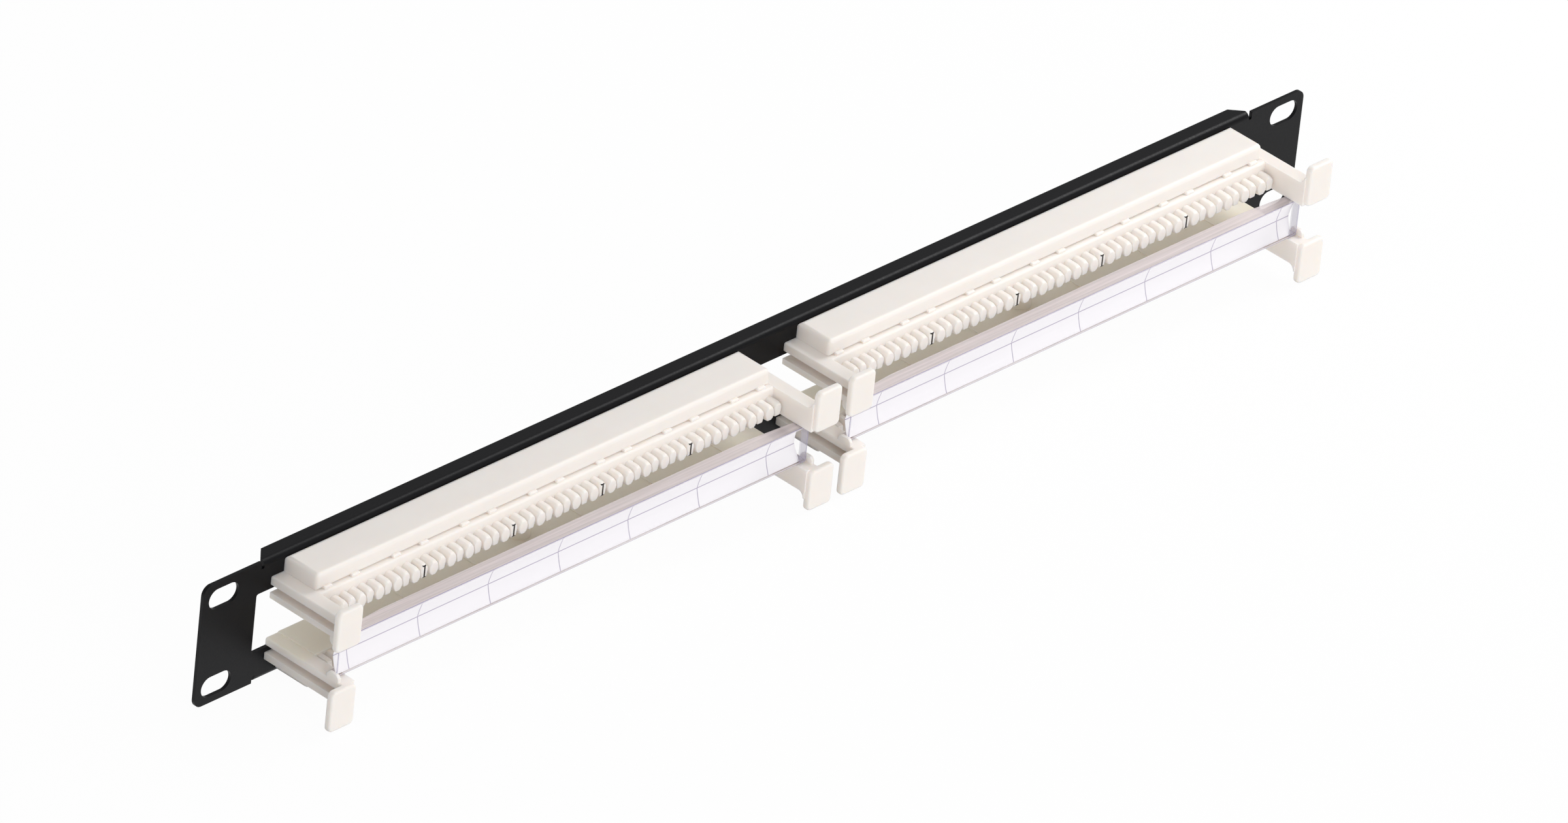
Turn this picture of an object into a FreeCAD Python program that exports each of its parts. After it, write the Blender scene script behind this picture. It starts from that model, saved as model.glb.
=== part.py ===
import FreeCAD, Part
import os
from math import sin, tan

# Rack panel with two punch down wiring blocks.
# Millimetres. X runs along the panel, the front faces -Y and Z is up.
# The origin is the centre of the panel's front face.
# A depth is measured forward from that face, so a depth of d lies at Y = -d.

# Wire rows: every row is a comb in which small and large teeth take turns.
# A tooth is widest at its root on the rail and tapers to its nose.
pairs_per_row = 25
slot_pitch = 3.81
small_tooth_width = 2.9
large_tooth_width = 3.4
small_tooth_foot = 8.1
large_tooth_foot = 7.6
small_tooth_tip_width = 1.2
large_tooth_tip_width = 1.4
small_tooth_cheek = 1.5
large_tooth_cheek = 1.8
small_tooth_reach = 4.5
large_tooth_reach = 4.9
tooth_below_ledge = 2.65
tooth_root = 0.4
tooth_nose_share = 0.84

# Row body: a rail that carries the teeth, with a thick slab on it.
# What the slab leaves free in front of it is the ledge, level with the arms.
trough_half_height = 6.7
rail_top = 15.05
rail_front = 16.1
rail_round = 0.5
slab_top = 20.6
slab_front = 14.2
slab_round = 1.4
slab_past_last_tooth = 1.95
foot_groove_width = 0.5
foot_groove_depth = 0.6

# Nubs at the slab's foot, in pairs along the rail
nub_width = 3.4
nub_reach = 1.5
nub_height = 1.5
nub_pair_pitch = 29.04
nub_spacing = 11.7

# Low ribs on the trough faces
trough_rib_every = 8
trough_rib_first = 6
trough_rib_count = 3
trough_rib_width = 0.8
trough_rib_height = 0.3

# Cross post that joins the two rows of a block
post_radius = 3.9
post_centre_depth = 5.0

# Arms: channels open to the outside, each ending in an upright plate
arm_width = 5.2
arm_web = 1.6
arm_bottom = 7.05
arm_lower_rib = 2.4
arm_upper_rib = 2.8
arm_bevel = 0.5
groove_end_wall = 1.8
arm_step_width = 1.4
plate_inset = 0.4
plate_width = 10.5
plate_front = 35.0
plate_thickness = 2.2
plate_top = 21.5
plate_corner = 1.5
arm_fillet = 1.2

# Catches on the arms that keep the label holder in
catch_width = 1.4
catch_length = 2.2
catch_height = 1.5
catch_slope = 0.9

# Clear label holder
holder_front = 29.3
holder_wall = 1.1
holder_depth = 4.8
holder_past_arm = 3.6
holder_side_gap = 0.3
holder_height_gap = 0.4
holder_end_taper = 1.7
holder_taper_length = 22.0
holder_lip_round = 0.5

# Paper label, folded lengthwise
label_thickness = 0.2
label_fold_depth = 1.8
label_bow = 0.2
label_gap = 0.15
label_short_of_holder = 1.3

# Rack panel
sheet = 1.2
panel_height = 43.66
block_gap = 4.2
window_past_arm = 5.7
window_half_height = 10.6
window_corner = 0.8
ear_width = 23.0
ear_corner = 3.2
slot_from_end = 8.75
slot_spacing_z = 31.75
slot_length = 12.5
slot_height = 7.1
flange_depth = 6.0
bend_inside = 0.8
flange_from_window = 2.3
flange_end_taper = 4.0
relief_width = 1.2
relief_depth = 0.5

# Self-tapping screws that hold the blocks, driven from behind
screw_height = 15.2
screw_from_end = 14.0
screw_shank_radius = 1.25
screw_length = 8.0
screw_head_radius = 2.8
screw_head_height = 2.1
panel_hole_radius = 1.7
bore_clearance = 0.05
bore_past_screw = 0.8

# Sizes that follow from the ones above
teeth_per_row = 2 * pairs_per_row + 1
row_half = pairs_per_row * slot_pitch
tooth_top = rail_top - tooth_below_ledge
slab_half = row_half + slab_past_last_tooth
nub_pairs = int((2 * slab_half - nub_spacing - nub_width) / nub_pair_pitch) + 1
arm_top = rail_top
arm_outer = slab_half + arm_width
plate_inner = slab_half + plate_inset
plate_outer = plate_inner + plate_width
plate_back = plate_front - plate_thickness
block_centre = plate_outer + block_gap / 2
holder_half = slab_half + holder_past_arm
holder_half_height = arm_bottom - holder_height_gap
holder_back = holder_front - holder_depth
window_half = block_centre + arm_outer + window_past_arm
panel_half = window_half + ear_width
flange_half = window_half - flange_from_window

# Cutters reach past what they cut by "over"; places that match within "near" are the same
over = 1.0
near = 1e-4


def point(x, depth, z):
    return FreeCAD.Vector(x, -depth, z)


def side_point(depth, z):
    return point(0, depth, z)


def front_point(x, z):
    return point(x, 0, z)


def plan_point(x, depth):
    return point(x, depth, 0)


def outline(corners, place):
    """A flat face from its corners, each (a, b) or, where it is rounded, (a, b, radius)."""
    starts = []
    ends = []
    middles = []
    for number, corner in enumerate(corners):
        here = place(*corner[:2])
        radius = corner[2] if len(corner) == 3 else 0.0
        back = (place(*corners[number - 1][:2]) - here).normalize()
        onward = (place(*corners[(number + 1) % len(corners)][:2]) - here).normalize()
        half_angle = back.getAngle(onward) / 2
        trim = radius / tan(half_angle)
        to_centre = (back + onward).normalize()
        starts.append(here + back * trim)
        ends.append(here + onward * trim)
        middles.append(here + to_centre * (radius / sin(half_angle) - radius))
    edges = []
    for number, corner in enumerate(corners):
        if len(corner) == 3:
            edges.append(Part.Arc(starts[number], middles[number], ends[number]).toShape())
        following = starts[(number + 1) % len(corners)]
        if (following - ends[number]).Length > near:
            edges.append(Part.LineSegment(ends[number], following).toShape())
    return Part.Face(Part.Wire(edges))


def along_x(face, x_from, x_to):
    """A face drawn at X = 0 becomes a bar from x_from to x_to."""
    bar = face.extrude(FreeCAD.Vector(x_to - x_from, 0, 0))
    bar.translate(FreeCAD.Vector(x_from, 0, 0))
    return bar


def along_depth(face, depth_from, depth_to):
    """A face drawn at depth 0 becomes a bar that runs forward."""
    bar = face.extrude(FreeCAD.Vector(0, depth_from - depth_to, 0))
    bar.translate(FreeCAD.Vector(0, -depth_from, 0))
    return bar


def upward(face, z_from, z_to):
    """A face drawn at Z = 0 becomes an upright bar."""
    bar = face.extrude(FreeCAD.Vector(0, 0, z_to - z_from))
    bar.translate(FreeCAD.Vector(0, 0, z_from))
    return bar


def block_between(x_from, x_to, depth_from, depth_to, z_from, z_to):
    corner = point(x_from, depth_to, z_from)
    return Part.makeBox(x_to - x_from, depth_to - depth_from, z_to - z_from, corner)


def rounded_plate(x_half, depth_from, depth_to, z_from, z_to, radius):
    """A flat plate that faces forward, its four corners rounded."""
    face = outline([(-x_half, z_from, radius), (x_half, z_from, radius),
                    (x_half, z_to, radius), (-x_half, z_to, radius)], front_point)
    return along_depth(face, depth_from, depth_to)


def cylinder_forward(radius, x, depth_from, depth_to, z):
    return Part.makeCylinder(radius, depth_to - depth_from, point(x, depth_from, z),
                             FreeCAD.Vector(0, -1, 0))


def mirrored_left_right(shape):
    return shape.mirror(FreeCAD.Vector(0, 0, 0), FreeCAD.Vector(1, 0, 0))


def mirrored_top_bottom(shape):
    return shape.mirror(FreeCAD.Vector(0, 0, 0), FreeCAD.Vector(0, 0, 1))


def moved(shape, x=0.0, z=0.0):
    copy = shape.copy()
    copy.translate(FreeCAD.Vector(x, 0, z))
    return copy


def edges_where(shape, test):
    """The edges whose two ends both pass the test."""
    found = []
    for edge in shape.Edges:
        if all(test(vertex.Point) for vertex in edge.Vertexes):
            found.append(edge)
    return found


def flat_face(points):
    return Part.Face(Part.makePolygon(points + points[:1]))


def tapered_tooth(corners, reach):
    """One tooth: its outline in the rail, and the same outline, smaller, at its nose."""
    heights = [z for x, z in corners]
    middle = (min(heights) + max(heights)) / 2
    share = tooth_nose_share
    root = [point(x, rail_front - tooth_root, z) for x, z in corners]
    nose = [point(x * share, rail_front + reach, middle + (z - middle) * share) for x, z in corners]
    faces = [flat_face(root), flat_face(nose)]
    for number in range(len(corners)):
        faces.append(flat_face([root[number - 1], root[number], nose[number], nose[number - 1]]))
    return Part.makeSolid(Part.makeShell(faces))


def small_tooth():
    """Six-sided: straight flanks that come in to a narrow foot."""
    half = small_tooth_width / 2
    tip = small_tooth_tip_width / 2
    cheek = small_tooth_foot + small_tooth_cheek
    return tapered_tooth([(-half, tooth_top), (-half, cheek), (-tip, small_tooth_foot),
                          (tip, small_tooth_foot), (half, cheek), (half, tooth_top)],
                         small_tooth_reach)


def large_tooth():
    """Leaf-shaped: wider than the small one, with long flanks down to its foot."""
    half = large_tooth_width / 2
    tip = large_tooth_tip_width / 2
    cheek = large_tooth_foot + large_tooth_cheek
    return tapered_tooth([(-half, tooth_top), (-half, cheek), (-tip, large_tooth_foot),
                          (tip, large_tooth_foot), (half, cheek), (half, tooth_top)],
                         large_tooth_reach)


def tooth_row():
    """Small and large teeth in turn, one between every two wire slots."""
    small = small_tooth()
    large = large_tooth()
    teeth = []
    for number in range(teeth_per_row):
        kind = small if number % 2 == 0 else large
        teeth.append(moved(kind, x=number * slot_pitch - row_half))
    return teeth


def rail():
    """The bar behind the teeth, with a soft upper edge and a groove at the slab's foot."""
    groove_front = slab_front + foot_groove_width
    groove_floor = rail_top - foot_groove_depth
    section = outline([(0, trough_half_height), (0, rail_top), (slab_front, rail_top),
                       (slab_front, groove_floor), (groove_front, groove_floor),
                       (groove_front, rail_top), (rail_front, rail_top, rail_round),
                       (rail_front, trough_half_height)], side_point)
    return along_x(section, -slab_half, slab_half)


def slab():
    """The thick back of the row, with its upper front edge rounded."""
    base = rail_top - foot_groove_depth
    body = block_between(-slab_half, slab_half, 0, slab_front, base, slab_top)
    upper_front = edges_where(body, lambda p: p.z > slab_top - near and p.y < near - slab_front)
    return body.makeFillet(slab_round, upper_front)


def foot_nubs():
    nubs = []
    base = rail_top - foot_groove_depth
    for pair in range(nub_pairs):
        pair_centre = (pair - (nub_pairs - 1) / 2) * nub_pair_pitch
        for side in (-1, 1):
            centre = pair_centre + side * nub_spacing / 2
            nubs.append(block_between(centre - nub_width / 2, centre + nub_width / 2,
                                      slab_front - slab_round, slab_front + nub_reach,
                                      base, rail_top + nub_height))
    return nubs


def trough_ribs():
    ribs = []
    for number in range(trough_rib_count):
        centre = (trough_rib_first + number * trough_rib_every) * slot_pitch
        for side in (-1, 1):
            ribs.append(block_between(side * centre - trough_rib_width / 2,
                                      side * centre + trough_rib_width / 2,
                                      0, rail_front - rail_round,
                                      trough_half_height - trough_rib_height,
                                      trough_half_height + trough_rib_height))
    return ribs


def end_plate():
    """The upright plate at the front of an arm, right side, upper row."""
    half = plate_width / 2
    plate = rounded_plate(half, plate_back, plate_front, arm_bottom, plate_top, plate_corner)
    return moved(plate, plate_inner + half)


def arm():
    """The right arm of the upper row: a channel with its open side outward."""
    section = outline([(slab_half, arm_bottom), (arm_outer - arm_bevel, arm_bottom),
                       (arm_outer, arm_bottom + arm_bevel), (arm_outer, arm_top - arm_bevel),
                       (arm_outer - arm_bevel, arm_top), (slab_half, arm_top)], front_point)
    bar = along_depth(section, 0, plate_back + plate_thickness / 2)
    groove = block_between(slab_half + arm_web, arm_outer + over, -over, plate_back - groove_end_wall,
                           arm_bottom + arm_lower_rib, arm_top - arm_upper_rib)
    return bar.cut(groove).fuse([end_plate(), corner_fillet()])


def corner_fillet():
    """Concave fillet between the arm's top and the plate's back."""
    corner = block_between(plate_inner, arm_outer - arm_bevel, plate_back - arm_fillet, plate_back,
                           arm_top, arm_top + arm_fillet)
    hollow = Part.makeCylinder(arm_fillet, arm_width + 2 * over,
                               point(slab_half - over, plate_back - arm_fillet, arm_top + arm_fillet),
                               FreeCAD.Vector(1, 0, 0))
    return corner.cut(hollow)


def arm_step():
    """What is cut away where the trough face curves over to the arm."""
    start = slab_half - arm_step_width
    middle = slab_half - arm_step_width / 2
    below = trough_half_height - trough_rib_height - over
    curve = Part.BezierCurve()
    curve.setPoles([front_point(start, trough_half_height), front_point(middle, trough_half_height),
                    front_point(middle, arm_bottom), front_point(slab_half, arm_bottom)])
    corners = [front_point(slab_half, arm_bottom), front_point(slab_half, below),
               front_point(start, below), front_point(start, trough_half_height)]
    sides = [Part.LineSegment(a, b).toShape() for a, b in zip(corners, corners[1:])]
    face = Part.Face(Part.Wire([curve.toShape()] + sides))
    return along_depth(face, -over, rail_front + over)


def holder_catch():
    """Catch under the arm, just in front of the label holder's end."""
    inner = holder_half + holder_side_gap
    root = arm_bottom + arm_bevel
    crest = arm_bottom - catch_height
    tip = holder_front + catch_length
    section = outline([(holder_front, root), (holder_front, crest), (tip - catch_slope, crest),
                       (tip, crest + catch_slope), (tip, root)], side_point)
    return along_x(section, inner, inner + catch_width)


def screw_places():
    """Offsets from a block's centre: one screw near each end, on opposite rows."""
    return [(side * (slab_half - screw_from_end), side * screw_height) for side in (-1, 1)]


def wiring_row():
    """The upper row of a block, with its teeth, nubs, ribs and two arms."""
    right_arm = arm()
    right_catch = holder_catch()
    body = rail().cut([arm_step(), mirrored_left_right(arm_step())])
    extras = [slab(), right_arm, right_catch]
    extras += [mirrored_left_right(right_arm), mirrored_left_right(right_catch)]
    return body.fuse(extras + tooth_row() + foot_nubs() + trough_ribs())


def wiring_block():
    """One moulding: two rows that face each other across the trough, and the cross post."""
    upper = wiring_row()
    post_foot = -trough_half_height - over
    post = Part.makeCylinder(post_radius, -2 * post_foot, point(0, post_centre_depth, post_foot))
    block = upper.fuse([mirrored_top_bottom(upper), post])
    bore_end = screw_length - sheet + bore_past_screw
    bores = [cylinder_forward(screw_shank_radius + bore_clearance, x, -over, bore_end, z)
             for x, z in screw_places()]
    return block.cut(bores).removeSplitter()


def label_holder():
    """Clear channel: a front wall with a flange above and below that reaches back."""
    outside = holder_half_height
    inside = outside - holder_wall
    wall_back = holder_front - holder_wall
    section = outline([(holder_front, -outside), (holder_front, outside), (holder_back, outside),
                       (holder_back, inside), (wall_back, inside), (wall_back, -inside),
                       (holder_back, -inside, holder_lip_round),
                       (holder_back, -outside, holder_lip_round)], side_point)
    channel = along_x(section, -holder_half, holder_half)
    taper_start = holder_half - holder_taper_length
    taper = outline([(taper_start, holder_back), (holder_half + over, holder_back + holder_end_taper),
                     (holder_half + over, holder_back - over), (taper_start, holder_back - over)],
                    plan_point)
    wedge = upward(taper, 0, outside + over)
    return channel.cut([wedge, mirrored_left_right(wedge)])


def label_strip():
    """Paper label, folded lengthwise so that its middle stands back from the clear front."""
    half_height = holder_half_height - holder_wall - label_gap
    front = holder_front - holder_wall - label_gap
    edges = []
    for surface in (front, front - label_thickness):
        middle = surface - label_fold_depth / 2 - label_bow
        fold = side_point(surface - label_fold_depth, 0)
        for side in (1, -1):
            rim = side_point(surface, side * half_height)
            edges.append(Part.Arc(rim, side_point(middle, side * half_height / 2), fold).toShape())
    for side in (1, -1):
        edges.append(Part.LineSegment(side_point(front, side * half_height),
                                      side_point(front - label_thickness, side * half_height)).toShape())
    section = Part.Face(Part.Wire(Part.__sortEdges__(edges)))
    return along_x(section, -holder_half + label_gap, holder_half - label_short_of_holder)


def flange():
    """Upper flange of the panel, bent back through a right angle, with sloped ends."""
    top = panel_height / 2
    bend_start = top - bend_inside - sheet
    section = outline([(0, bend_start), (0, top, bend_inside + sheet), (-flange_depth, top),
                       (-flange_depth, top - sheet), (-sheet, top - sheet, bend_inside),
                       (-sheet, bend_start)], side_point)
    bar = along_x(section, -flange_half, flange_half)
    slope = outline([(flange_half, flange_end_taper - flange_depth),
                     (flange_half - flange_end_taper, -flange_depth),
                     (flange_half - flange_end_taper, -flange_depth - over),
                     (flange_half + over, -flange_depth - over),
                     (flange_half + over, flange_end_taper - flange_depth)], plan_point)
    wedge = upward(slope, 0, top + over)
    return bar.cut([wedge, mirrored_left_right(wedge)])


def rack_slot():
    """An opening with round ends, long side level, centred on the origin."""
    radius = slot_height / 2
    half_straight = slot_length / 2 - radius
    middle = block_between(-half_straight, half_straight, -sheet - over, over, -radius, radius)
    ends = [cylinder_forward(radius, side * half_straight, -sheet - over, over, 0) for side in (-1, 1)]
    return middle.fuse(ends)


def rack_panel():
    """One folded sheet: ears, window, rack slots and two flanges bent backward."""
    top = panel_height / 2
    bend_start = top - bend_inside - sheet
    plate = rounded_plate(panel_half, -sheet, 0, -top, top, ear_corner)
    window = rounded_plate(window_half, -sheet - over, over, -window_half_height, window_half_height,
                           window_corner)
    notch_end = flange_half + relief_width
    edge_strip = block_between(-notch_end, notch_end, -sheet - over, over, bend_start, top + over)
    relief = block_between(flange_half, notch_end, -sheet - over, over,
                           bend_start - relief_depth, top + over)
    upper_cuts = [edge_strip, relief, mirrored_left_right(relief)]
    cuts = [window] + upper_cuts + [mirrored_top_bottom(cut) for cut in upper_cuts]
    for side in (-1, 1):
        slot_x = side * (panel_half - slot_from_end)
        cuts += [moved(rack_slot(), slot_x, row * slot_spacing_z / 2) for row in (-1, 1)]
        cuts += [cylinder_forward(panel_hole_radius, side * block_centre + x, -sheet - over, over, z)
                 for x, z in screw_places()]
    upper_flange = flange()
    return plate.cut(cuts).fuse([upper_flange, mirrored_top_bottom(upper_flange)])


def block_screw():
    """Pan-head screw along the depth, its head behind the panel."""
    seat = -sheet
    head_back = seat - screw_head_height
    tip = seat + screw_length
    half = outline([(0, head_back), (screw_head_radius, head_back), (screw_head_radius, seat),
                    (screw_shank_radius, seat), (screw_shank_radius, tip), (0, tip)], plan_point)
    return half.revolve(FreeCAD.Vector(0, 0, 0), FreeCAD.Vector(0, 1, 0), 360)


def block_screws():
    screw = block_screw()
    screws = []
    for side in (-1, 1):
        for x, z in screw_places():
            screws.append(moved(screw, side * block_centre + x, z))
    return Part.makeCompound(screws)


def save(node, shape):
    shape.exportStep(os.path.join("parts", node + ".step"))
    print(node, len(shape.Solids), "solid", round(shape.Volume), "mm3", "valid", shape.isValid())


os.makedirs("parts", exist_ok=True)

block = wiring_block()
holder = label_holder()
strip = label_strip()
for name, centre in (("left", -block_centre), ("right", block_centre)):
    save("wiring_block_" + name, moved(block, centre))
    save("label_holder_" + name, moved(holder, centre))
    save("label_strip_" + name, moved(strip, centre))
save("rack_panel", rack_panel())
save("block_screws", block_screws())
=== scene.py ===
# Rack panel with two punch down wiring blocks, dressed for its picture.
# A piece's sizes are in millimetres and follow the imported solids, in the frame they share.
# The floor, the lamps and the camera are placed in metres.
from math import cos, pi, radians, sin

import bmesh
import bpy
from mathutils import Matrix, Vector


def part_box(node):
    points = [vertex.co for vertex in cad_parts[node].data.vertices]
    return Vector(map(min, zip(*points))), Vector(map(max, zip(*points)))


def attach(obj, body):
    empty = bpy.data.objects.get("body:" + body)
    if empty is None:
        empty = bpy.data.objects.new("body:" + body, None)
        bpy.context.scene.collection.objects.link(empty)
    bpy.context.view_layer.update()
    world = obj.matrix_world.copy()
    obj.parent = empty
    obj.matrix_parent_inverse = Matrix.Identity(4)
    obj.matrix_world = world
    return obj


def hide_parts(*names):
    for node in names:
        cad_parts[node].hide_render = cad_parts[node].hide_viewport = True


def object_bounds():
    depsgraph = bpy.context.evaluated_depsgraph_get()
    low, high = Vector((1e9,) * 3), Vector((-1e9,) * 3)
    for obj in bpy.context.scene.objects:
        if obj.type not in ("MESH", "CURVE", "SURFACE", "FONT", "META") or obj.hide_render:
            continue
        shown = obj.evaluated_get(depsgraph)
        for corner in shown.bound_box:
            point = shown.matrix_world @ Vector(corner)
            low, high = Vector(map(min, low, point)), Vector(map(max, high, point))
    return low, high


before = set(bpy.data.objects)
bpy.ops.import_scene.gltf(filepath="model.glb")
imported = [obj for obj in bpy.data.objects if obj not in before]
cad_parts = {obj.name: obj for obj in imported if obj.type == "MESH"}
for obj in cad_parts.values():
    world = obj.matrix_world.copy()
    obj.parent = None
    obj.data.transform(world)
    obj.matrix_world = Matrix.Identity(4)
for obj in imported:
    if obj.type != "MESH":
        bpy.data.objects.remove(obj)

solid_box = [list(corner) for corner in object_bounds()]
mm = 0.001


# Rack panel: one folded steel sheet with a window, four rack slots and two flanges.
# It is punched and bent, then powder coated, which rounds its cut edges a little
# and leaves a black skin with a fine, slightly pebbled satin gloss.
main_body = "panel_and_blocks"
coat_edge = 0.25
pebble_size = 0.8
pebble_depth = 0.04
shade_patch = 45.0
weld_distance = 0.002
flat_angle = radians(0.5)
sharp_angle = radians(40)

# Sockets of a Mix node that mixes colours: its two colours and its result.
colour_a, colour_b, colour_out = 6, 7, 2


def linear(hex_code):
    """A colour written as sRGB hex, as the linear values that the shaders take."""
    parts = [int(hex_code[place:place + 2], 16) / 255 for place in (1, 3, 5)]
    return [part / 12.92 if part <= 0.04045 else ((part + 0.055) / 1.055) ** 2.4
            for part in parts] + [1.0]


def add_node(tree, kind, inputs=None, **settings):
    """Adds a node. An input is a name or a number, and takes a value, another node's socket,
    or another node, which stands for its first output."""
    node = tree.nodes.new(kind)
    for name, value in settings.items():
        setattr(node, name, value)
    for name, value in (inputs or {}).items():
        if isinstance(value, bpy.types.Node):
            value = value.outputs[0]
        if isinstance(value, bpy.types.NodeSocket):
            tree.links.new(value, node.inputs[name])
        else:
            node.inputs[name].default_value = value
    return node


def new_material(name):
    """An empty node material: the material, its tree and its object coordinates."""
    material = bpy.data.materials.new(name)
    material.use_nodes = True
    tree = material.node_tree
    tree.nodes.clear()
    return material, tree, add_node(tree, "ShaderNodeTexCoord").outputs["Object"]


def placed(name, data):
    """A new object in the scene."""
    piece = bpy.data.objects.new(name, data)
    bpy.context.scene.collection.objects.link(piece)
    return piece


def merged_copy(node_name, piece_name):
    """A CAD node's mesh as a new object in millimetres, its triangles joined into flat faces."""
    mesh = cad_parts[node_name].data.copy()
    mesh.materials.clear()
    mesh.transform(Matrix.Scale(1 / mm, 4))
    work = bmesh.new()
    work.from_mesh(mesh)
    bmesh.ops.remove_doubles(work, verts=work.verts, dist=weld_distance)
    bmesh.ops.dissolve_limit(work, angle_limit=flat_angle, verts=work.verts, edges=work.edges)
    work.to_mesh(mesh)
    work.free()
    return placed(piece_name, mesh)


def settled(piece):
    """Turns a piece's modifiers into plain mesh."""
    bpy.context.view_layer.update()
    seen = piece.evaluated_get(bpy.context.evaluated_depsgraph_get())
    mesh = bpy.data.meshes.new_from_object(seen)
    piece.modifiers.clear()
    piece.data = mesh


def soften(piece, label, width):
    """Rounds all sharp edges of a piece by a small width."""
    edge = piece.modifiers.new(label, "BEVEL")
    edge.width = width
    edge.segments = 2
    edge.angle_limit = sharp_angle
    settled(piece)


def finished(piece, material, body, node_name):
    """From millimetres to metres, shaded, painted, and set on its body in place of its node."""
    piece.data.shade_smooth()
    piece.data.set_sharp_from_angle(angle=sharp_angle)
    level = piece.modifiers.new("large faces stay level", "WEIGHTED_NORMAL")
    level.weight = 100
    level.keep_sharp = True
    settled(piece)
    piece.data.transform(Matrix.Scale(mm, 4))
    piece.data.materials.clear()
    piece.data.materials.append(material)
    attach(piece, body)
    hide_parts(node_name)


powder_coat, tree, place = new_material("black powder coated steel")
pebble = add_node(tree, "ShaderNodeTexNoise", {
    "Vector": place, "Scale": 1 / (pebble_size * mm), "Detail": 3.0, "Roughness": 0.55})
cloud = add_node(tree, "ShaderNodeTexNoise", {
    "Vector": place, "Scale": 1 / (shade_patch * mm), "Detail": 2.0})
skin = add_node(tree, "ShaderNodeMix", {
    "Factor": cloud, colour_a: linear("#0b0b0d"), colour_b: linear("#111114")},
    data_type="RGBA")
gloss = add_node(tree, "ShaderNodeMapRange", {
    "Value": pebble, "From Min": 0.3, "From Max": 0.7, "To Min": 0.32, "To Max": 0.44})
grain = add_node(tree, "ShaderNodeBump", {
    "Height": pebble, "Strength": 0.3, "Distance": pebble_depth * mm})
coat = add_node(tree, "ShaderNodeBsdfPrincipled", {
    "Base Color": skin.outputs[colour_out], "Roughness": gloss, "Normal": grain,
    "IOR": 1.5, "Specular IOR Level": 0.14})
add_node(tree, "ShaderNodeOutputMaterial", {"Surface": coat})

panel = merged_copy("rack_panel", "coated_rack_panel")
soften(panel, "coated edge", coat_edge)
finished(panel, powder_coat, main_body, "rack_panel")


# Wiring blocks: each is one ivory ABS moulding, two toothed rows joined by a post,
# with an arm at every end of a row. The mould leaves rounded edges and a fine matt skin,
# and the plastic lets a little light through, so its corners look soft and warm.
row_end = 97.2
slab_top = 20.6
slab_front = 14.2
slab_round = 1.5
slit_width = 0.4
slit_depth = 0.14
ledge = 15.05
slab_foot = ledge - slit_depth
rail_front = 16.1
rail_foot = 6.7
rail_round = 0.75
arm_foot = 7.05
arm_outside = 102.4
arm_web = 1.6
arm_round = 0.6
channel_top = 12.25
channel_foot = 9.45
channel_end = 31.0
end_wall_inset = 0.12
plate_inside = 97.6
plate_outside = 108.1
plate_back = 32.8
plate_front = 35.0
plate_top = 21.5
plate_corner = 1.8
plate_round = 0.85
plate_fillet = 2.2
fillet_steps = 6
catch_inside = 101.1
catch_width = 1.35
catch_back = 26.2
catch_front = 31.5
catch_crest = 4.7
catch_slope = 1.0
catch_round = 0.4
post_radius = 3.9
post_depth = 5.0
block_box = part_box("wiring_block_right")
block_centre = (block_box[0][0] + block_box[1][0]) / 2 / mm
sides = (("left", -block_centre), ("right", block_centre))

# The parts of a moulding run into each other by an overlap or a root before they are
# fused. A sliver keeps two faces apart that would share a plane, and a corner that is
# near a plane counts as on it.
slab_overlap = 0.2
bar_overlap = 0.5
fillet_overlap = 0.4
fillet_root = 1.0
wall_overlap = 0.2
wall_root = 1.0
catch_overlap = 0.8
post_overlap = 0.5
sliver = 0.02
near = 0.01


def seen_from_front(x, z, depth):
    """A corner of an outline drawn from the front, at its depth in front of the panel."""
    return Vector((x, -depth, z))


def seen_from_side(depth, z, x):
    """A corner of an outline drawn from the side, at its place along the panel."""
    return Vector((x, -depth, z))


def box_corners(a_from, a_to, b_from, b_to):
    """The outline of a box."""
    return [(a_from, b_from), (a_to, b_from), (a_to, b_to), (a_from, b_to)]


def edges_where(work, chosen):
    """The edges whose two ends both pass the test."""
    return [edge for edge in work.edges if all(chosen(vertex.co) for vertex in edge.verts)]


def round_edges(work, edges, radius, segments):
    """Rounds the given edges."""
    bmesh.ops.bevel(work, geom=edges, offset=radius, segments=segments, profile=0.5,
                    affect="EDGES", clamp_overlap=True)


def lofted(outlines):
    """A closed body through outlines that have the same number of corners."""
    work = bmesh.new()
    rings = [[work.verts.new(corner) for corner in outline] for outline in outlines]
    work.faces.new(rings[0])
    work.faces.new(rings[-1][::-1])
    for inner, outer in zip(rings, rings[1:]):
        for number in range(len(inner)):
            work.faces.new([inner[number - 1], inner[number], outer[number], outer[number - 1]])
    bmesh.ops.recalc_face_normals(work, faces=work.faces)
    return work


def swept(corners, start, end, place, radius=0.0, segments=3, chosen=lambda spot: True):
    """A bar: the outline placed at its start and at its end, with the chosen edges rounded."""
    work = lofted([[place(a, b, distance) for a, b in corners] for distance in (start, end)])
    if radius:
        round_edges(work, edges_where(work, chosen), radius, segments)
    return work


def joined(name, parts):
    """One object from several bmeshes."""
    whole = bmesh.new()
    for part in parts:
        step = bpy.data.meshes.new("step")
        part.to_mesh(step)
        part.free()
        whole.from_mesh(step)
        bpy.data.meshes.remove(step)
    bmesh.ops.recalc_face_normals(whole, faces=whole.faces)
    mesh = bpy.data.meshes.new(name)
    whole.to_mesh(mesh)
    whole.free()
    return placed(name, mesh)


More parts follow.
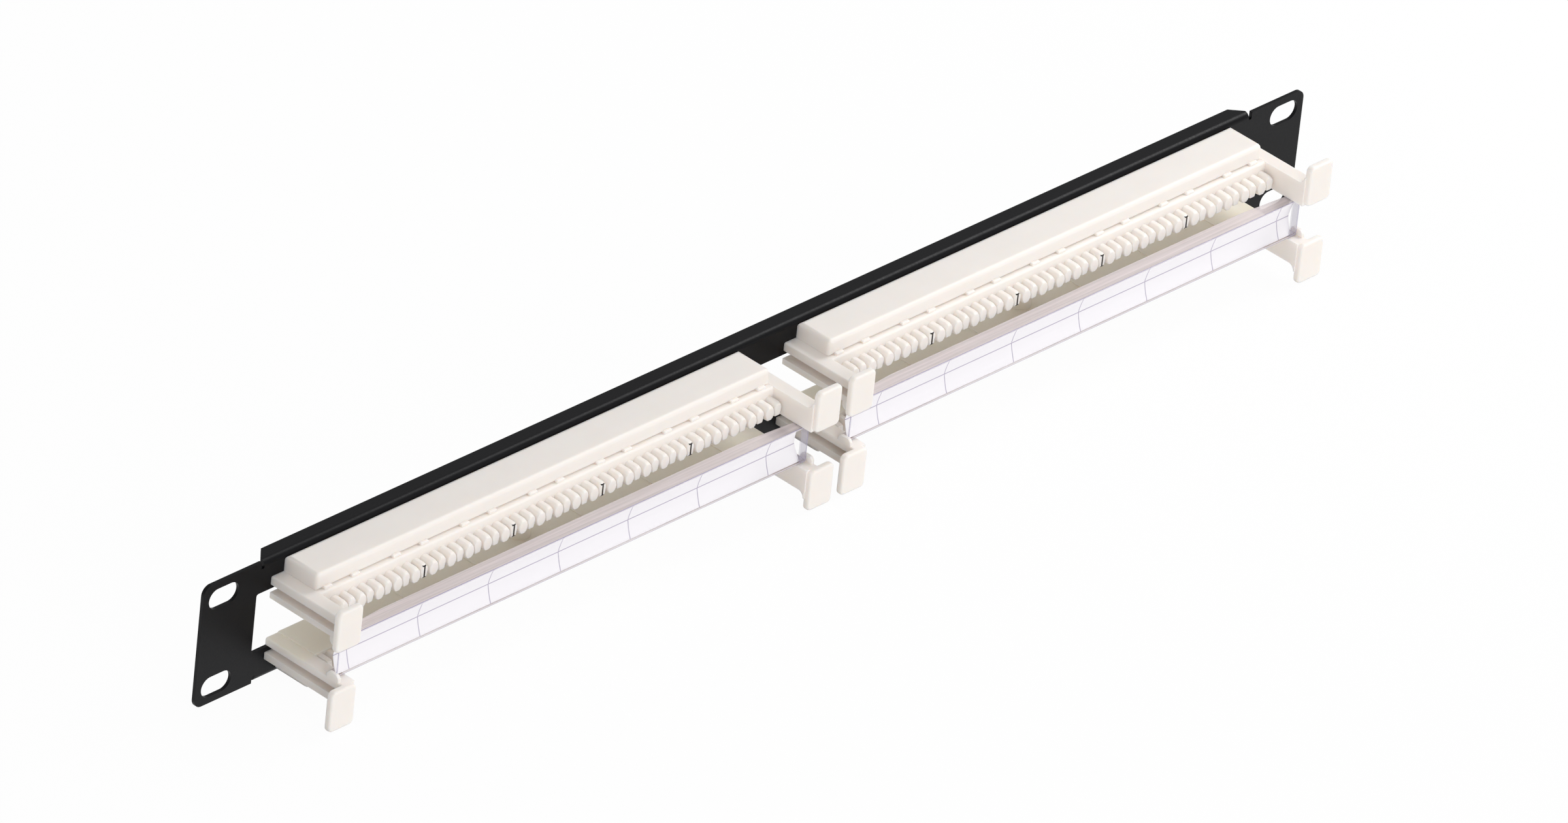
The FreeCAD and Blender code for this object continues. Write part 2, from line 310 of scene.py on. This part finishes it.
def arm_parts():
    """The upper right arm: a channel open outward, its end wall, plate, fillet and catch."""
    section = [(row_end, arm_foot), (arm_outside, arm_foot), (arm_outside, channel_foot),
               (row_end + arm_web, channel_foot), (row_end + arm_web, channel_top),
               (arm_outside, channel_top), (arm_outside, ledge), (row_end, ledge)]
    bar = swept(section, 0, plate_back + bar_overlap, seen_from_front, arm_round, 3,
                lambda spot: (spot.z > ledge - near or spot.z < arm_foot + near)
                and spot.x > arm_outside - near)
    hollow = [(plate_back - plate_fillet + plate_fillet * sin(turn),
               ledge + plate_fillet - plate_fillet * cos(turn))
              for turn in (pi / 2 * number / fillet_steps for number in range(fillet_steps + 1))]
    fillet = swept([(plate_back - plate_fillet, ledge - fillet_root)] + hollow
                   + [(plate_back + fillet_overlap, ledge + plate_fillet),
                      (plate_back + fillet_overlap, ledge - fillet_root)],
                   row_end + sliver, arm_outside - sliver, seen_from_side, arm_round, 3,
                   lambda spot: spot.z > ledge - near and spot.y > -plate_back - near
                   and spot.x > arm_outside - sliver - near)
    wall = swept(box_corners(row_end + arm_web - wall_overlap, arm_outside - end_wall_inset,
                             channel_foot - wall_overlap, channel_top + wall_overlap),
                 channel_end, plate_back + wall_root, seen_from_front)
    plate = swept(box_corners(plate_inside, plate_outside, arm_foot - sliver, plate_top),
                  plate_back, plate_front, seen_from_front)
    corners = [edge for edge in plate.edges
               if abs(edge.verts[0].co.y - edge.verts[1].co.y) > near]
    round_edges(plate, corners, plate_corner, 6)
    front = edges_where(plate, lambda spot: spot.y < near - plate_front)
    round_edges(plate, front, plate_round, 3)
    back = edges_where(plate, lambda spot: spot.y > -plate_back - near)
    round_edges(plate, back, plate_round / 2, 2)
    catch = swept([(catch_back, arm_foot + catch_overlap), (catch_back, catch_crest + catch_slope),
                   (catch_back + catch_slope, catch_crest),
                   (catch_front - catch_slope, catch_crest),
                   (catch_front, catch_crest + catch_slope),
                   (catch_front, arm_foot + catch_overlap)],
                  catch_inside, catch_inside + catch_width, seen_from_side, catch_round, 2)
    return [bar, fillet, wall, plate, catch]


def mirrored(parts, signs):
    """The same parts on the other side of the block's middle."""
    for part in parts:
        bmesh.ops.scale(part, verts=part.verts, vec=signs)
    return parts


def row_parts():
    """The upper row without its teeth: rail with its ledge, slab and two arms."""
    section = [(0, rail_foot), (rail_front, rail_foot), (rail_front, ledge),
               (slab_front + slit_width, ledge), (slab_front, slab_foot), (0, slab_foot)]
    rail = swept(section, -row_end, row_end, seen_from_side, rail_round, 3,
                 lambda spot: spot.y < near - rail_front and spot.z > ledge - near)
    slab = swept(box_corners(-row_end, row_end, slab_foot - slab_overlap, slab_top),
                 0, slab_front, seen_from_front, slab_round, 4,
                 lambda spot: spot.z > slab_top - near or spot.y < near - slab_front)
    return [rail, slab] + arm_parts() + mirrored(arm_parts(), (-1, 1, 1))


# Teeth, nubs and trough ribs: moulded in one with the block, from the same ivory ABS.
# A large tooth is a petal with a round foot, a small one steps in to a narrower tab, and
# the nubs are small square bumps at the slab's foot. One node tree sets them out in rows.
tooth_top = 12.4
tooth_root = 0.6
tooth_nose = 1.6
tooth_brow = 0.95
tooth_chin = 0.3
tooth_cheek_share = 0.1
small_reach = 4.5
large_reach = 4.9
slot_pitch = 3.81
pairs = 25
nub_count = 7
nub_width = 3.4
nub_reach = 1.1
nub_height = 0.9
nub_round = 0.45
nub_overlap = 0.1
nub_root = 1.0
nub_pair_pitch = 29.04
nub_spacing = 11.7
rib_count = 3
rib_width = 0.8
rib_height = 0.3
rib_round = 0.15
rib_back = 0.3
rib_setback = 0.6
rib_pitch = 8 * slot_pitch
first_rib = 6 * slot_pitch

row_tree = bpy.data.node_groups.new("copies in a row", "GeometryNodeTree")
for label, kind in (("Source", "NodeSocketObject"), ("Count", "NodeSocketInt"),
                    ("First", "NodeSocketVector"), ("Step", "NodeSocketVector"),
                    ("Material", "NodeSocketMaterial")):
    row_tree.interface.new_socket(label, in_out="INPUT", socket_type=kind)
row_tree.interface.new_socket("Geometry", in_out="OUTPUT", socket_type="NodeSocketGeometry")
asked = add_node(row_tree, "NodeGroupInput").outputs
spots = add_node(row_tree, "GeometryNodeMeshLine", {
    "Count": asked["Count"], "Start Location": asked["First"], "Offset": asked["Step"]},
    mode="OFFSET")
source = add_node(row_tree, "GeometryNodeObjectInfo", {"Object": asked["Source"]})
copies = add_node(row_tree, "GeometryNodeInstanceOnPoints", {
    "Points": spots, "Instance": source.outputs["Geometry"]})
real = add_node(row_tree, "GeometryNodeRealizeInstances", {"Geometry": copies})
dressed = add_node(row_tree, "GeometryNodeSetMaterial", {
    "Geometry": real, "Material": asked["Material"]})
add_node(row_tree, "NodeGroupOutput", {"Geometry": dressed})


def in_a_row(source, count, first, step, material):
    """Copies of the source piece, as one plain mesh in a new bmesh. The source stays."""
    carrier = placed("row", bpy.data.meshes.new("row"))
    modifier = carrier.modifiers.new("copies in a row", "NODES")
    modifier.node_group = row_tree
    values = {"Source": source, "Count": count, "First": first, "Step": step,
              "Material": material}
    for item in row_tree.interface.items_tree:
        if item.in_out == "INPUT":
            modifier[item.identifier] = values[item.name]
    settled(carrier)
    work = bmesh.new()
    work.from_mesh(carrier.data)
    bpy.data.objects.remove(carrier)
    return work


def tooth(name, half_outline, reach):
    """A tooth from its right half, top to foot, that rounds off towards its nose."""
    outline = half_outline + [(-x, z) for x, z in reversed(half_outline)]
    foot = half_outline[-1][1]
    # Each level's depth, and the share of the nose's rounding that it has taken.
    levels = [(rail_front - tooth_root, 0)]
    for turn in (0, pi / 6, pi / 3, pi / 2):
        levels.append((rail_front + reach - tooth_nose * (1 - sin(turn)), 1 - cos(turn)))
    rings = []
    for depth, lost in levels:
        low = foot + tooth_chin * lost
        high = tooth_top - tooth_brow * lost
        rings.append([seen_from_front(
            x * (1 - tooth_cheek_share * lost),
            low + (z - foot) * (high - low) / (tooth_top - foot), depth) for x, z in outline])
    return joined(name, [lofted(rings)])


small_tooth = tooth("small tooth", [
    (0.35, tooth_top), (0.95, 12.1), (1.4, 11.5), (1.58, 10.6), (1.36, 9.6), (1.2, 8.3),
    (0.95, 7.4)], small_reach)
large_tooth = tooth("large tooth", [
    (0.4, tooth_top), (1.05, 12.1), (1.6, 11.4), (1.86, 10.2), (1.76, 9.0), (1.35, 7.95),
    (0.7, 7.25)], large_reach)
nub = joined("nub", [swept(
    box_corners(-nub_width / 2, nub_width / 2, slab_foot - nub_overlap, ledge + nub_height),
    slab_front - nub_root, slab_front + nub_reach, seen_from_front, nub_round, 3)])
rib = joined("rib", [swept(
    box_corners(-rib_width / 2, rib_width / 2, rail_foot - rib_height, rail_foot + rib_height),
    rib_back, rail_front - rib_setback, seen_from_front, rib_round, 2)])


# Four small teeth of every row carry a pair mark in black ink, pad printed on the nose:
# an upright stroke with a short bar at each end, ten teeth from the next one.
mark_spacing = 10 * slot_pitch
mark_reach = 2 * mark_spacing
mark_middle = 9.75
mark_half_height = 2.2
mark_half_stem = 0.32
mark_half_bar = 0.74
mark_bar = 0.4
mark_depth = rail_front + small_reach - tooth_nose

# The moulded ABS has a faint mottle and a fine spark eroded skin, drawn coarser than it is
# so that it shows. In the trough the ivory gets a painted glow, a warm tint that stands in
# for the light that gets there through the plastic.
mottle_size = 9.0
spark_size = 0.5
spark_depth = 0.03
light_reach = 2.0
trough_top = 8.5
trough_front = 17.5
trough_blend = 2.0


def from_block_middle(tree, place):
    """A spot's three coordinates, and its distances along and up from its block's middle."""
    axes = add_node(tree, "ShaderNodeSeparateXYZ", {"Vector": place}).outputs
    outward = add_node(tree, "ShaderNodeMath", {0: axes["X"]}, operation="ABSOLUTE")
    across = add_node(tree, "ShaderNodeMath", {0: outward, 1: block_centre * mm},
                      operation="SUBTRACT")
    up = add_node(tree, "ShaderNodeMath", {0: axes["Z"]}, operation="ABSOLUTE")
    return axes, across, up


abs_plastic, tree, place = new_material("ivory ABS, moulded")
axes, across, up = from_block_middle(tree, place)
beside = add_node(tree, "ShaderNodeMath", {0: across, 1: mark_spacing * mm, 2: 0.0},
                  operation="WRAP")
stem = add_node(tree, "ShaderNodeMath", {
    0: beside, 1: mark_spacing / 2 * mm, 2: mark_half_stem * mm}, operation="COMPARE")
wide = add_node(tree, "ShaderNodeMath", {
    0: beside, 1: mark_spacing / 2 * mm, 2: mark_half_bar * mm}, operation="COMPARE")
between_bars = add_node(tree, "ShaderNodeMath", {
    0: up, 1: mark_middle * mm, 2: (mark_half_height - mark_bar) * mm}, operation="COMPARE")
bars = add_node(tree, "ShaderNodeMath", {0: wide, 1: between_bars}, operation="SUBTRACT")
printed = add_node(tree, "ShaderNodeMath", {0: stem, 1: bars}, operation="MAXIMUM")
in_height = add_node(tree, "ShaderNodeMath", {
    0: up, 1: mark_middle * mm, 2: mark_half_height * mm}, operation="COMPARE")
in_row = add_node(tree, "ShaderNodeMath", {0: across, 1: 0.0, 2: mark_reach * mm},
                  operation="COMPARE")
in_front = add_node(tree, "ShaderNodeMath", {0: axes["Y"], 1: -mark_depth * mm},
                    operation="LESS_THAN")
for limit in (in_height, in_row, in_front):
    printed = add_node(tree, "ShaderNodeMath", {0: printed, 1: limit}, operation="MULTIPLY")
mottle = add_node(tree, "ShaderNodeTexNoise", {
    "Vector": place, "Scale": 1 / (mottle_size * mm), "Detail": 4.0, "Roughness": 0.6})
ivory = add_node(tree, "ShaderNodeMix", {
    "Factor": mottle, colour_a: linear("#f4ede7"), colour_b: linear("#f7f1ec")},
    data_type="RGBA")
# Painted glow: low in the trough and behind the rail's front, the ivory is mixed towards a warm
# tint that stands in for light through the plastic.
low = add_node(tree, "ShaderNodeMapRange", {
    "Value": up, "From Min": trough_top * mm, "From Max": rail_foot * mm})
back = add_node(tree, "ShaderNodeMapRange", {
    "Value": axes["Y"], "From Min": -trough_front * mm,
    "From Max": (trough_blend - trough_front) * mm})
trough_glow_mask = add_node(tree, "ShaderNodeMath", {0: low, 1: back}, operation="MULTIPLY")
# The painted warm glow, mixed into the ivory.
painted_trough_glow = add_node(tree, "ShaderNodeMix", {
    "Factor": trough_glow_mask, colour_a: ivory.outputs[colour_out], colour_b: linear("#fbf2e4")},
    data_type="RGBA")
shade = add_node(tree, "ShaderNodeMix", {
    "Factor": printed, colour_a: painted_trough_glow.outputs[colour_out], colour_b: linear("#1c1613")},
    data_type="RGBA")
sparked = add_node(tree, "ShaderNodeTexNoise", {
    "Vector": place, "Scale": 1 / (spark_size * mm), "Detail": 2.0})
matt = add_node(tree, "ShaderNodeMapRange", {
    "Value": mottle, "From Min": 0.3, "From Max": 0.7, "To Min": 0.45, "To Max": 0.55})
texture = add_node(tree, "ShaderNodeBump", {
    "Height": sparked, "Strength": 0.25, "Distance": spark_depth * mm})
plastic = add_node(tree, "ShaderNodeBsdfPrincipled", {
    "Base Color": shade.outputs[colour_out], "Roughness": matt, "Normal": texture,
    "IOR": 1.53, "Subsurface Weight": 0.7, "Subsurface Radius": (1.0, 0.85, 0.7),
    "Subsurface Scale": light_reach * mm})
add_node(tree, "ShaderNodeOutputMaterial", {"Surface": plastic})


def repeated_parts():
    """Everything that repeats on the upper row."""
    half_row = pairs * slot_pitch
    half_nubs = (nub_count - 1) / 2 * nub_pair_pitch
    two = (2 * slot_pitch, 0, 0)
    parts = [in_a_row(small_tooth, pairs + 1, (-half_row, 0, 0), two, abs_plastic),
             in_a_row(large_tooth, pairs, (slot_pitch - half_row, 0, 0), two, abs_plastic)]
    for side in (-1, 1):
        parts.append(in_a_row(nub, nub_count, (side * nub_spacing / 2 - half_nubs, 0, 0),
                              (nub_pair_pitch, 0, 0), abs_plastic))
        parts.append(in_a_row(rib, rib_count, (side * first_rib, 0, 0),
                              (side * rib_pitch, 0, 0), abs_plastic))
    return parts


def fused(name, parts):
    """One closed shell from several bmeshes that overlap."""
    whole = joined(name, parts[:1])
    for part in parts[1:]:
        other = joined("part", [part])
        union = whole.modifiers.new("moulded in one", "BOOLEAN")
        union.operation = "UNION"
        union.object = other
        union.solver = "MANIFOLD"
        settled(whole)
        bpy.data.objects.remove(other)
    return whole


def block_parts():
    """Both rows and the post between them."""
    post = bmesh.new()
    bmesh.ops.create_cone(post, cap_ends=True, segments=40, radius1=post_radius,
                          radius2=post_radius, depth=2 * (rail_foot + post_overlap),
                          matrix=Matrix.Translation((0, -post_depth, 0)))
    upper = row_parts() + repeated_parts()
    lower = mirrored(row_parts() + repeated_parts(), (1, 1, -1))
    return upper + [post] + lower


moulding = fused("moulding", block_parts())
for side, centre in sides:
    block = placed("moulded_block_" + side, moulding.data.copy())
    block.data.transform(Matrix.Translation((centre, 0, 0)))
    finished(block, abs_plastic, main_body, "wiring_block_" + side)
for source_piece in (small_tooth, large_tooth, nub, rib, moulding):
    bpy.data.objects.remove(source_piece)


# Screws: zinc plated steel pan heads with a cross recess, driven from behind the panel.
# Their shanks are in the blocks, so only the heads show, at the back. The plating gives a
# bright grey with a fine cloud, drawn coarser than it is so that it shows.
head_radius = 2.8
head_seat = -1.2
head_top = head_seat - 2.1
crown_rise = 0.7
crown_steps = 6
shank_radius = 1.25
shank_end = 6.8
shank_point = 1.0
recess_depth = 1.2
recess_overrun = 1.0
recess_half_length = 1.6
recess_half_width = 0.36
screw_height = 15.2
screw_offset = row_end - 14.0
cloud_size = 0.6

zinc, tree, place = new_material("zinc plated steel, drawn")
plating = add_node(tree, "ShaderNodeTexNoise", {
    "Vector": place, "Scale": 1 / (cloud_size * mm), "Detail": 3.0})
tint = add_node(tree, "ShaderNodeMix", {
    "Factor": plating, colour_a: linear("#b9bbbd"), colour_b: linear("#d2d3d2")},
    data_type="RGBA")
worn = add_node(tree, "ShaderNodeMapRange", {
    "Value": plating, "From Min": 0.3, "From Max": 0.7, "To Min": 0.24, "To Max": 0.4})
metal = add_node(tree, "ShaderNodeBsdfPrincipled", {
    "Base Color": tint.outputs[colour_out], "Roughness": worn, "Metallic": 1.0})
add_node(tree, "ShaderNodeOutputMaterial", {"Surface": metal})


def lathed(profile, steps=40):
    """A round body about the depth axis from (radius, depth) points, first and last on the axis."""
    work = bmesh.new()
    rings = []
    for radius, depth in profile:
        turns = [2 * pi * n / steps for n in range(steps if radius else 1)]
        rings.append([work.verts.new((radius * cos(turn), -depth, radius * sin(turn)))
                      for turn in turns])
    for inner, outer in zip(rings, rings[1:]):
        for n in range(steps):
            corners = [inner[n % len(inner)], inner[(n + 1) % len(inner)],
                       outer[(n + 1) % len(outer)], outer[n % len(outer)]]
            # On the axis two corners are one, which makes the face a triangle.
            work.faces.new(list(dict.fromkeys(corners)))
    bmesh.ops.recalc_face_normals(work, faces=work.faces)
    return work


crown = [(head_radius * sin(turn), head_top + crown_rise * (1 - cos(turn)))
         for turn in (pi / 2 * number / crown_steps for number in range(crown_steps + 1))]
screw = joined("screw", [lathed(crown + [
    (head_radius, head_seat), (shank_radius, head_seat),
    (shank_radius, shank_end - shank_point), (0, shank_end)])])
cross = joined("cross", [
    swept(box_corners(-half_x, half_x, -half_z, half_z), head_top - recess_overrun,
          head_top + recess_depth, seen_from_front)
    for half_x, half_z in ((recess_half_length, recess_half_width),
                           (recess_half_width, recess_half_length))])
cut = screw.modifiers.new("cross recess", "BOOLEAN")
cut.operation = "DIFFERENCE"
cut.object = cross
cut.solver = "EXACT"
cut.use_self = True  # the two bars of the cross run through each other
settled(screw)
bpy.data.objects.remove(cross)
to_right_block = (2 * block_centre, 0, 0)
screws = joined("zinc_block_screws", [
    in_a_row(screw, 2, (side * screw_offset - block_centre, 0, side * screw_height),
             to_right_block, zinc) for side in (-1, 1)])
bpy.data.objects.remove(screw)
finished(screws, zinc, main_body, "block_screws")


# Label holders: clear polycarbonate channels, extruded, cut to length and clipped between
# the arms. The front wall is colourless with a faint painted sheen, and the flanges are
# painted pinkish grey and half solid, a painted sheen where they are seen at a grazing angle,
# with faint drawn streaks. Thin violet grey lines of painted light run along the rims and cut
# ends, and the right end past the paper is painted grey violet, a painted reflection.
holder_front = 29.3
holder_back = 23.9
holder_wall = 0.5
holder_half_height = 6.65
holder_half_length = 100.8
holder_rim_round = 0.15
end_taper = 1.7
taper_length = 22.0
rim_line = 0.24
rim_light_strength = 0.5
wall_sheen_share = 0.06
end_reflection_reach = 3.2
end_reflection_strength = 0.4
streak_width = 1.1
streak_stretch = 0.02

clear, tree, place = new_material("clear polycarbonate, extruded")
axes, across, up = from_block_middle(tree, place)
side_sign = add_node(tree, "ShaderNodeMath", {0: axes["X"]}, operation="SIGN")
rightward = add_node(tree, "ShaderNodeMath", {0: across, 1: side_sign}, operation="MULTIPLY")
# The right end past the paper, which gets a painted grey violet reflection.
past_paper = add_node(tree, "ShaderNodeMath", {
    0: rightward, 1: (holder_half_length - end_reflection_reach) * mm}, operation="GREATER_THAN")
endward = add_node(tree, "ShaderNodeMath", {0: across}, operation="ABSOLUTE")
# Rims and cut ends, where thin violet grey lines of painted light go.
at_cut = add_node(tree, "ShaderNodeMath", {
    0: endward, 1: (holder_half_length - rim_line) * mm}, operation="GREATER_THAN")
high = add_node(tree, "ShaderNodeMath", {
    0: up, 1: (holder_half_height - rim_line) * mm}, operation="GREATER_THAN")
forward = add_node(tree, "ShaderNodeMath", {
    0: axes["Y"], 1: (rim_line - holder_front) * mm}, operation="LESS_THAN")
at_edge = add_node(tree, "ShaderNodeMath", {0: high, 1: forward}, operation="MULTIPLY")
rim = add_node(tree, "ShaderNodeMath", {0: at_edge, 1: at_cut}, operation="MAXIMUM")
on_flange = add_node(tree, "ShaderNodeMath", {
    0: up, 1: (holder_half_height - holder_wall) * mm}, operation="GREATER_THAN")
along = add_node(tree, "ShaderNodeMapping", {
    "Vector": place, "Scale": (streak_stretch, 1.0, 1.0)})
drawn = add_node(tree, "ShaderNodeTexNoise", {
    "Vector": along, "Scale": 1 / (streak_width * mm), "Detail": 2.0})
streaks = add_node(tree, "ShaderNodeMapRange", {
    "Value": drawn, "From Min": 0.35, "From Max": 0.7, "To Min": 0.5, "To Max": 0.72})
# Painted sheen: the flanges are made far more solid than the front wall, for the look of clear
# plastic seen at a grazing angle.
sheen_share = add_node(tree, "ShaderNodeMath", {0: on_flange, 1: wall_sheen_share},
                      operation="MAXIMUM")
solid = add_node(tree, "ShaderNodeMath", {0: streaks, 1: sheen_share}, operation="MULTIPLY")
for mask, strength in ((past_paper, end_reflection_strength), (rim, rim_light_strength)):
    part = add_node(tree, "ShaderNodeMath", {0: mask, 1: strength}, operation="MULTIPLY")
    solid = add_node(tree, "ShaderNodeMath", {0: solid, 1: part}, operation="MAXIMUM")
# Painted colours: the pinkish sheen, the grey violet reflection at the right end and, below, the
# violet grey light lines at the rims.
sheen_and_reflection_colour = add_node(tree, "ShaderNodeMix", {
    "Factor": past_paper, colour_a: linear("#ece2e4"), colour_b: linear("#bdb8c6")},
    data_type="RGBA")
tint = add_node(tree, "ShaderNodeMix", {
    "Factor": rim, colour_a: sheen_and_reflection_colour.outputs[colour_out], colour_b: linear("#a9a5c4")},
    data_type="RGBA")
sheer = add_node(tree, "ShaderNodeBsdfPrincipled", {
    "Base Color": tint.outputs[colour_out], "Roughness": 0.08, "IOR": 1.58, "Alpha": solid})
add_node(tree, "ShaderNodeOutputMaterial", {"Surface": sheer})


def lengthwise(name, sections):
    """A long piece from its sections, each at its own place along the panel."""
    return joined(name, [lofted([[seen_from_side(depth, z, x) for depth, z in section]
                                 for x, section in sections])])


def channel(back):
    """The holder's section: its front wall and the two flanges that reach back from it."""
    high = holder_half_height
    inner = high - holder_wall
    web = holder_front - holder_wall
    return [(holder_front, -high), (holder_front, high), (back, high), (back, inner),
            (web, inner), (web, -inner), (back, -inner), (back, -high)]


narrow = channel(holder_back + end_taper)
full = channel(holder_back)
for side, centre in sides:
    left_end = centre - holder_half_length
    right_end = centre + holder_half_length
    holder = lengthwise("clear_holder_" + side, [
        (left_end, narrow), (left_end + taper_length, full),
        (right_end - taper_length, full), (right_end, narrow)])
    soften(holder, "rounded rim", holder_rim_round)
    finished(holder, clear, side + "_label_holder", "label_holder_" + side)


# Paper labels: white paper folded lengthwise, laser printed with a faint grey grid.
# Each lies in its holder and stands back at the fold, where the long line runs, and the
# left one's right end is cut at a slant. It is matt, with fibres drawn coarser than they are.
paper_gap = 0.05
paper_thickness = 0.2
fold_depth = 1.8
paper_bow = 0.2
bow_steps = 8
right_end_short = 2.2
corner_short = {"left": 3.0, "right": 0.0}
line_spacing = 30.0
line_width = 0.36
line_offsets = {"left": -5.2, "right": 3.1}
fibre_size = 0.5
fibre_depth = 0.02


def printed_paper(name, first_line):
    """White paper with a line along the fold and lines across at an even spacing."""
    material, tree, place = new_material(name)
    axes = add_node(tree, "ShaderNodeSeparateXYZ", {"Vector": place}).outputs
    offset = add_node(tree, "ShaderNodeMath", {0: axes["X"], 1: first_line * mm},
                      operation="SUBTRACT")
    wrapped = add_node(tree, "ShaderNodeMath", {
        0: offset, 1: line_spacing / 2 * mm, 2: -line_spacing / 2 * mm}, operation="WRAP")
    across, fold = [
        add_node(tree, "ShaderNodeMath", {0: distance, 1: 0.0, 2: line_width / 2 * mm},
                 operation="COMPARE") for distance in (wrapped, axes["Z"])]
    printed = add_node(tree, "ShaderNodeMath", {0: across, 1: fold}, operation="MAXIMUM")
    fibre = add_node(tree, "ShaderNodeTexNoise", {
        "Vector": place, "Scale": 1 / (fibre_size * mm), "Detail": 4.0, "Roughness": 0.7})
    sheet = add_node(tree, "ShaderNodeMix", {
        "Factor": fibre, colour_a: linear("#f8f6fb"), colour_b: linear("#fefdff")},
        data_type="RGBA")
    inked = add_node(tree, "ShaderNodeMix", {
        "Factor": printed, colour_a: sheet.outputs[colour_out], colour_b: linear("#bcb4c8")},
        data_type="RGBA")
    rough = add_node(tree, "ShaderNodeBump", {
        "Height": fibre, "Strength": 0.15, "Distance": fibre_depth * mm})
    paper = add_node(tree, "ShaderNodeBsdfPrincipled", {
        "Base Color": inked.outputs[colour_out], "Roughness": 0.7, "Normal": rough})
    add_node(tree, "ShaderNodeOutputMaterial", {"Surface": paper})
    return material


def paper_line(surface):
    """The sheet's line in section: two bowed halves that meet at the fold."""
    high = holder_half_height - holder_wall - paper_gap
    shares = [number / bow_steps for number in range(-bow_steps, bow_steps + 1)]
    return [(surface - fold_depth * (1 - abs(share))
             - 4 * paper_bow * abs(share) * (1 - abs(share)), share * high) for share in shares]


paper_front = holder_front - holder_wall - paper_gap
sheet_section = paper_line(paper_front) + paper_line(paper_front - paper_thickness)[::-1]
for side, centre in sides:
    strip = lengthwise("paper_label_" + side, [
        (centre - holder_half_length + paper_gap, sheet_section),
        (centre + holder_half_length - right_end_short, sheet_section)])
    # The slant takes the most off the upper right corner.
    for vertex in strip.data.vertices:
        if vertex.co.x > centre:
            vertex.co.x -= corner_short[side] * (0.5 + vertex.co.z / holder_half_height / 2)
    paper = printed_paper("printed label paper, " + side, centre + line_offsets[side])
    finished(strip, paper, side + "_label_holder", "label_strip_" + side)


# Picture: a plain pale floor under the panel, large soft lamps and the camera.
# The floor is shown near white to the camera and in reflections, and keeps its shadow.
floor_level = solid_box[0][2]
floor_reach = 6.0
floor_white = 0.96
sky_strength = 0.53
floor_mesh = bpy.data.meshes.new("floor")
floor_mesh.from_pydata(
    [(x, y, floor_level) for x, y in box_corners(-floor_reach, floor_reach,
                                                 -floor_reach, floor_reach)],
    [], [(0, 1, 2, 3)])
floor = placed("floor", floor_mesh)

pale, tree, place = new_material("pale floor paint")
chalk = add_node(tree, "ShaderNodeBsdfDiffuse", {"Color": linear("#f4f4f4")})
glow = add_node(tree, "ShaderNodeEmission", {"Strength": 1.0})
ray = add_node(tree, "ShaderNodeLightPath").outputs
seen = ray["Is Camera Ray"]
for other_ray in ("Is Glossy Ray", "Is Transmission Ray"):
    seen = add_node(tree, "ShaderNodeMath", {0: seen, 1: ray[other_ray]}, operation="MAXIMUM")
share = add_node(tree, "ShaderNodeMath", {0: seen, 1: floor_white}, operation="MULTIPLY")
mixed = add_node(tree, "ShaderNodeMixShader", {"Fac": share, 1: chalk, 2: glow})
add_node(tree, "ShaderNodeOutputMaterial", {"Surface": mixed})
floor.data.materials.append(pale)

studio = bpy.data.worlds.new("studio")
studio.use_nodes = True
sky = studio.node_tree.nodes["Background"].inputs
sky["Color"].default_value = (1, 1, 1, 1)
sky["Strength"].default_value = sky_strength
bpy.context.scene.world = studio


def soft_lamp(name, spot, size, watts):
    """A round area lamp that looks at the middle of the panel."""
    lamp = bpy.data.lights.new(name, "AREA")
    lamp.shape = "DISK"
    lamp.size = size
    lamp.energy = watts
    stand = placed(name, lamp)
    stand.location = spot
    stand.rotation_euler = (-Vector(spot)).to_track_quat("-Z", "Y").to_euler()


soft_lamp("front lamp", (-0.7, -1.7, 0.6), 1.2, 13)
soft_lamp("right top lamp", (0.85, -0.1, 0.8), 0.6, 6)

# The camera stands six metres off with a long lens, because the view has little perspective.
camera = bpy.data.cameras.new("camera")
camera.lens = 449.2
camera.sensor_width = 36.0
camera.clip_start = 1.0
camera.clip_end = 30.0
viewer = placed("camera", camera)
viewer.location = (-3.8367, -3.4091, 3.1960)
viewer.rotation_euler = [radians(turn) for turn in (57.888, -5.263, -45.165)]
bpy.context.scene.camera = viewer
bpy.context.scene.view_settings.view_transform = "Standard"
